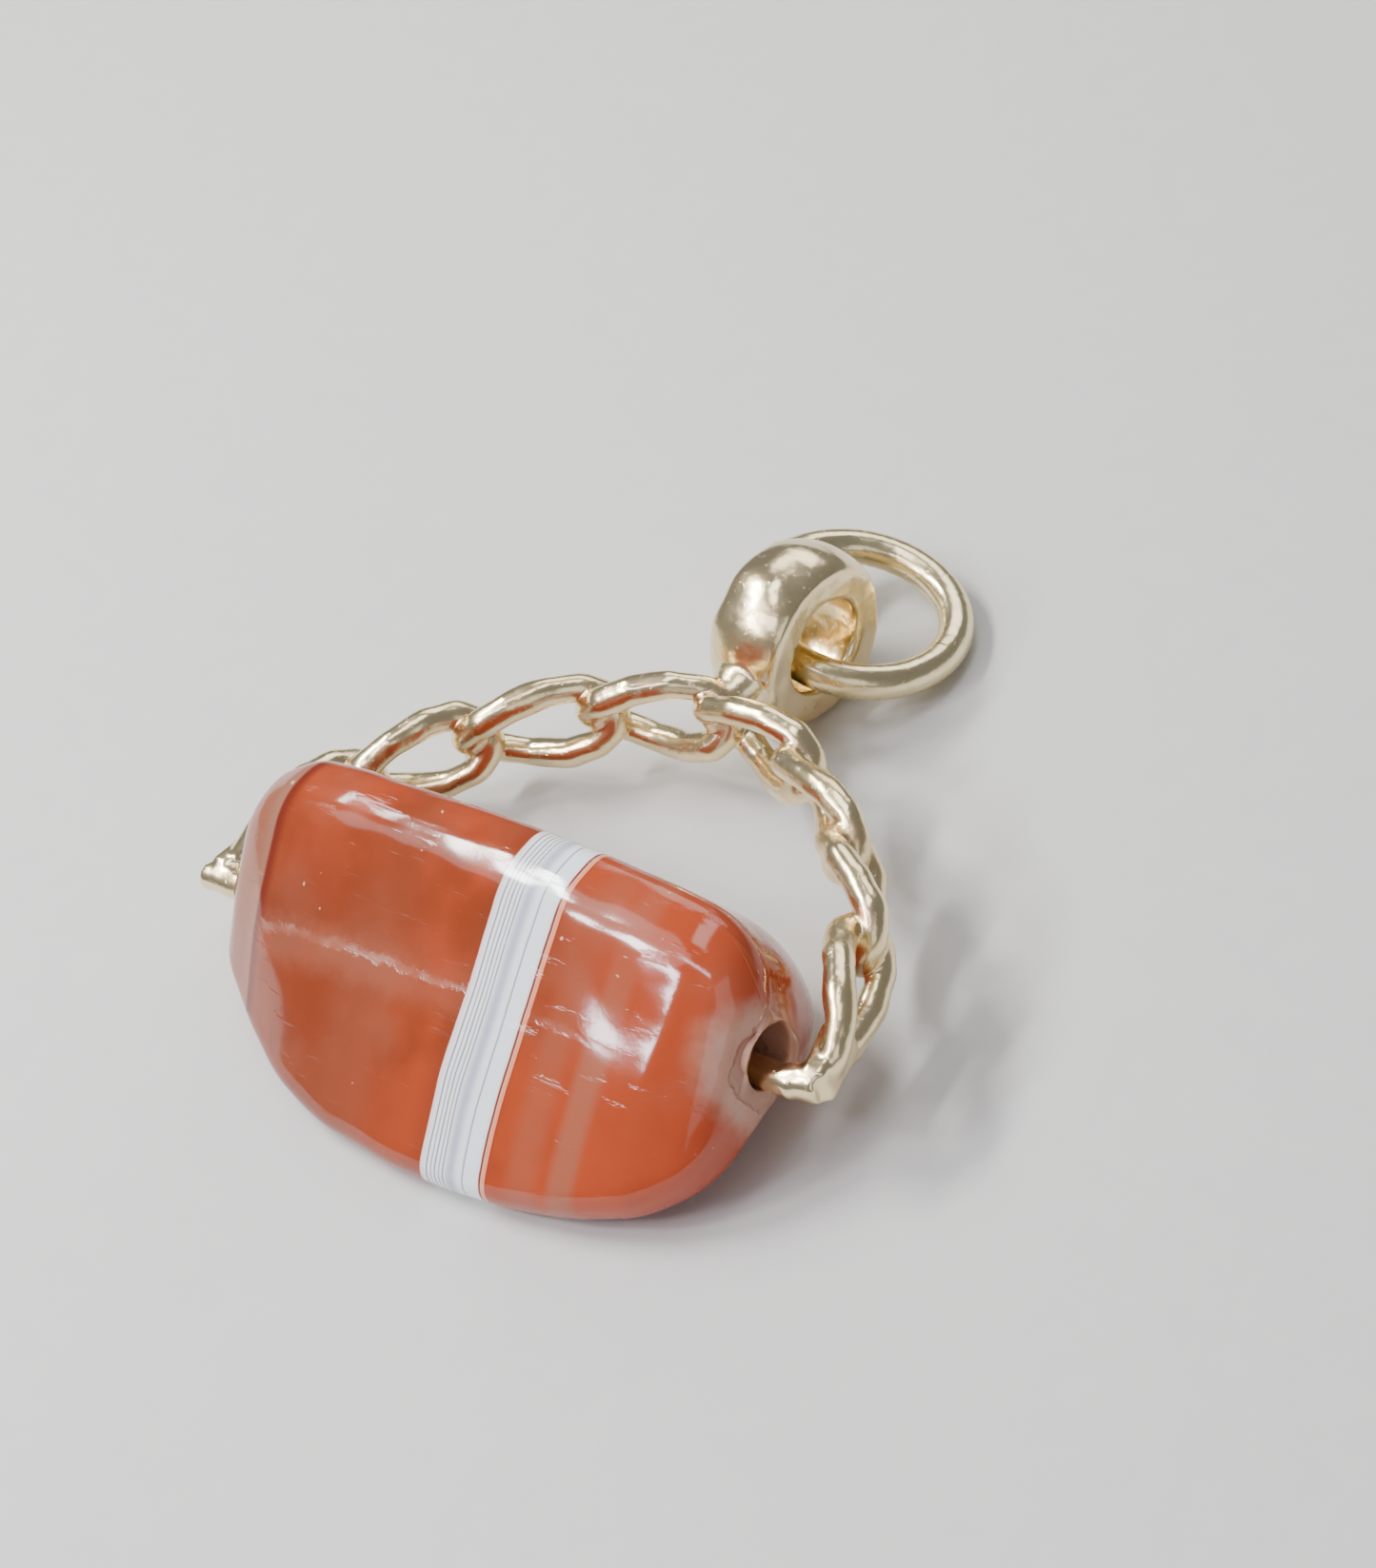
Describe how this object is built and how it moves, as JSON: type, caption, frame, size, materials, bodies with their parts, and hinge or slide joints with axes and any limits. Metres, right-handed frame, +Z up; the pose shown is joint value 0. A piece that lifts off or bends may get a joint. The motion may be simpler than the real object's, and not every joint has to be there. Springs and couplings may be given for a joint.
{
  "type": "fob seal",
  "caption": "Swivel fob: a polished banded agate turning on a pin in an arch of soldered gold curb links, with a drilled bead bail and a plain jump ring.",
  "frame": {"origin": "on the surface that the stone rests on, under the middle of the pin", "axes": "+X along the pin, +Y from the pin towards the bead and its ring, +Z up from the resting face"},
  "size_m": [0.0256, 0.0293, 0.0079],
  "materials": {
    "agate": "polished",
    "gold": "polished",
    "ring_gold": "polished"
  },
  "bodies": {
    "frame": {"arch_frame": "gold"},
    "stone": {"banded_stone": "agate"},
    "ring": {"jump_ring": "ring_gold"}
  },
  "joints": [
    {"name": "stone_swivel", "type": "hinge", "parent": "frame", "child": "stone", "pos_m": [0, 0, 0.003], "axis": [0.999, 0, 0.0454], "continuous": true},
    {"name": "ring_swing", "type": "hinge", "parent": "frame", "child": "ring", "pos_m": [0.00017, 0.01647, 0.00317], "axis": [0.9881, -0.1039, -0.1132], "range_deg": [-115, 135]}
  ]
}
